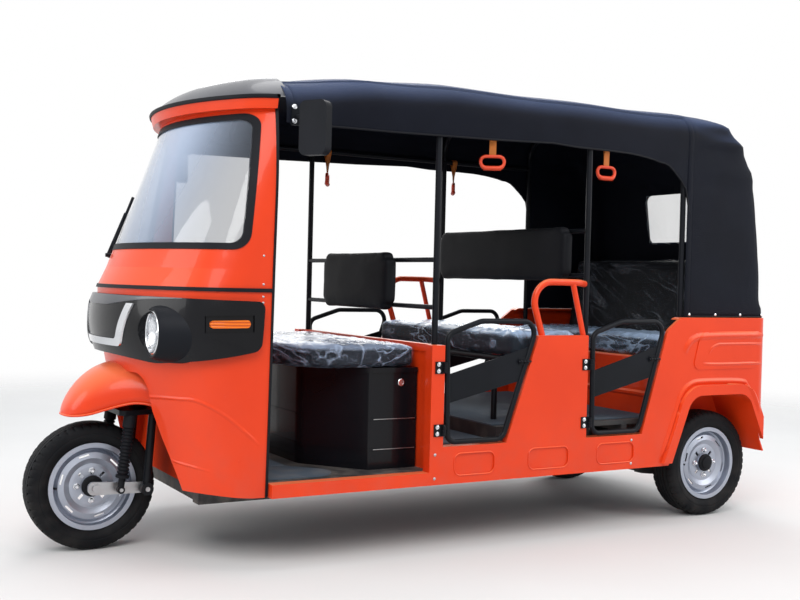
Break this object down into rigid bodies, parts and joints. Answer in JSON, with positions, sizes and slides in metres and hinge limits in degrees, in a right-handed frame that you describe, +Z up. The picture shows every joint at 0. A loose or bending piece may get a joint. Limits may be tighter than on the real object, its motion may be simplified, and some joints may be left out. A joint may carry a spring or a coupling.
{
  "type": "auto rickshaw",
  "caption": "Three-wheeled open passenger vehicle with a moulded cab, handlebar steering, tubular side doors, bench seats and a soft canopy.",
  "frame": {"origin": "on the ground under the middle of the vehicle's box", "axes": "+X forward, +Y to the left, +Z up"},
  "size_m": [3.312, 1.5904, 1.9309],
  "materials": {
    "orange_paint": "gloss orange paint",
    "black_paint": "satin black paint on steel tube",
    "chassis_black": "matt black chassis paint",
    "gloss_black": "gloss black moulding",
    "matte_black": "matt black moulding",
    "grey_cap": "dark grey moulding",
    "rubber": "black rubber",
    "mat_rubber": "ribbed grey-blue rubber",
    "tyre": "black tyre rubber",
    "silver_rim": "silver wheel paint",
    "alloy": "cast and brushed metal",
    "glass": "clear glass",
    "clear_film": "clear plastic sheet",
    "lamp_glass": "lamp lens",
    "amber": "amber lens",
    "red_lens": "red lens",
    "chrome": "bright trim",
    "vinyl": "black vinyl",
    "canopy_fabric": "dark coated fabric",
    "strap": "orange webbing and grip"
  },
  "bodies": {
    "body": {"chassis_frame": "chassis_black", "floor_pan": "chassis_black", "floor_mats": "mat_rubber", "wheel_well": "matte_black", "cab_lower_shell": "orange_paint", "cab_upper_shell": "orange_paint", "roof_cap": "grey_cap", "cab_edge_trim": "rubber", "front_fascia": "gloss_black", "headlamps": "lamp_glass", "side_indicators": "amber", "front_trim": "chrome", "windscreen_glass": "glass", "windscreen_seal": "rubber", "windscreen_wiper": "matte_black", "front_fender": "orange_paint", "instrument_pod": "matte_black", "mirrors": "matte_black", "driver_seat_box": "gloss_black", "battery_pack": "matte_black", "driver_cushion": "vinyl", "driver_backrest": "vinyl", "partition": "orange_paint", "side_sills": "orange_paint", "mid_panels": "orange_paint", "grab_rails": "orange_paint", "rear_body": "orange_paint", "tail_lamps": "red_lens", "roof_frame": "black_paint", "canopy": "canopy_fabric", "rear_window": "clear_film", "grab_straps": "strap", "middle_seat_frame": "black_paint", "middle_cushion": "vinyl", "middle_backrest": "vinyl", "rear_seat_base": "orange_paint", "rear_cushion": "vinyl", "rear_backrest": "vinyl", "rear_axle": "chassis_black", "leaf_springs": "chassis_black", "hinge_brackets": "black_paint"},
    "steering": {"front_fork": "black_paint", "front_links": "alloy", "front_shocks": "black_paint", "handlebar": "black_paint"},
    "front_wheel": {"front_tyre": "tyre", "front_rim": "silver_rim"},
    "rear_left_wheel": {"rear_left_tyre": "tyre", "rear_left_rim": "silver_rim"},
    "rear_right_wheel": {"rear_right_tyre": "tyre", "rear_right_rim": "silver_rim"},
    "front_left_door": {"door_front_left": "black_paint"},
    "front_right_door": {"door_front_right": "black_paint"},
    "rear_left_door": {"door_rear_left": "black_paint"},
    "rear_right_door": {"door_rear_right": "black_paint"}
  },
  "joints": [
    {"name": "steering_turn", "type": "hinge", "parent": "body", "child": "steering", "pos_m": [1.209, 0, 0.6], "axis": [-0.3584, 0, 0.9336], "range_deg": [-38, 38]},
    {"name": "front_wheel_spin", "type": "hinge", "parent": "steering", "child": "front_wheel", "pos_m": [1.409, 0, 0.247], "axis": [0, 1, 0], "continuous": true},
    {"name": "rear_left_wheel_spin", "type": "hinge", "parent": "body", "child": "rear_left_wheel", "pos_m": [-1.348, 0.5025, 0.247], "axis": [0, 1, 0], "continuous": true},
    {"name": "rear_right_wheel_spin", "type": "hinge", "parent": "body", "child": "rear_right_wheel", "pos_m": [-1.348, -0.5025, 0.247], "axis": [0, 1, 0], "continuous": true},
    {"name": "front_left_door_swing", "type": "hinge", "parent": "body", "child": "front_left_door", "pos_m": [0.192, 0.6615, 0.6], "axis": [0, 0, -1], "range_deg": [0, 90]},
    {"name": "front_right_door_swing", "type": "hinge", "parent": "body", "child": "front_right_door", "pos_m": [0.192, -0.6615, 0.6], "axis": [0, 0, 1], "range_deg": [0, 90]},
    {"name": "rear_left_door_swing", "type": "hinge", "parent": "body", "child": "rear_left_door", "pos_m": [-0.546, 0.6615, 0.6], "axis": [0, 0, -1], "range_deg": [0, 90]},
    {"name": "rear_right_door_swing", "type": "hinge", "parent": "body", "child": "rear_right_door", "pos_m": [-0.546, -0.6615, 0.6], "axis": [0, 0, 1], "range_deg": [0, 90]}
  ]
}
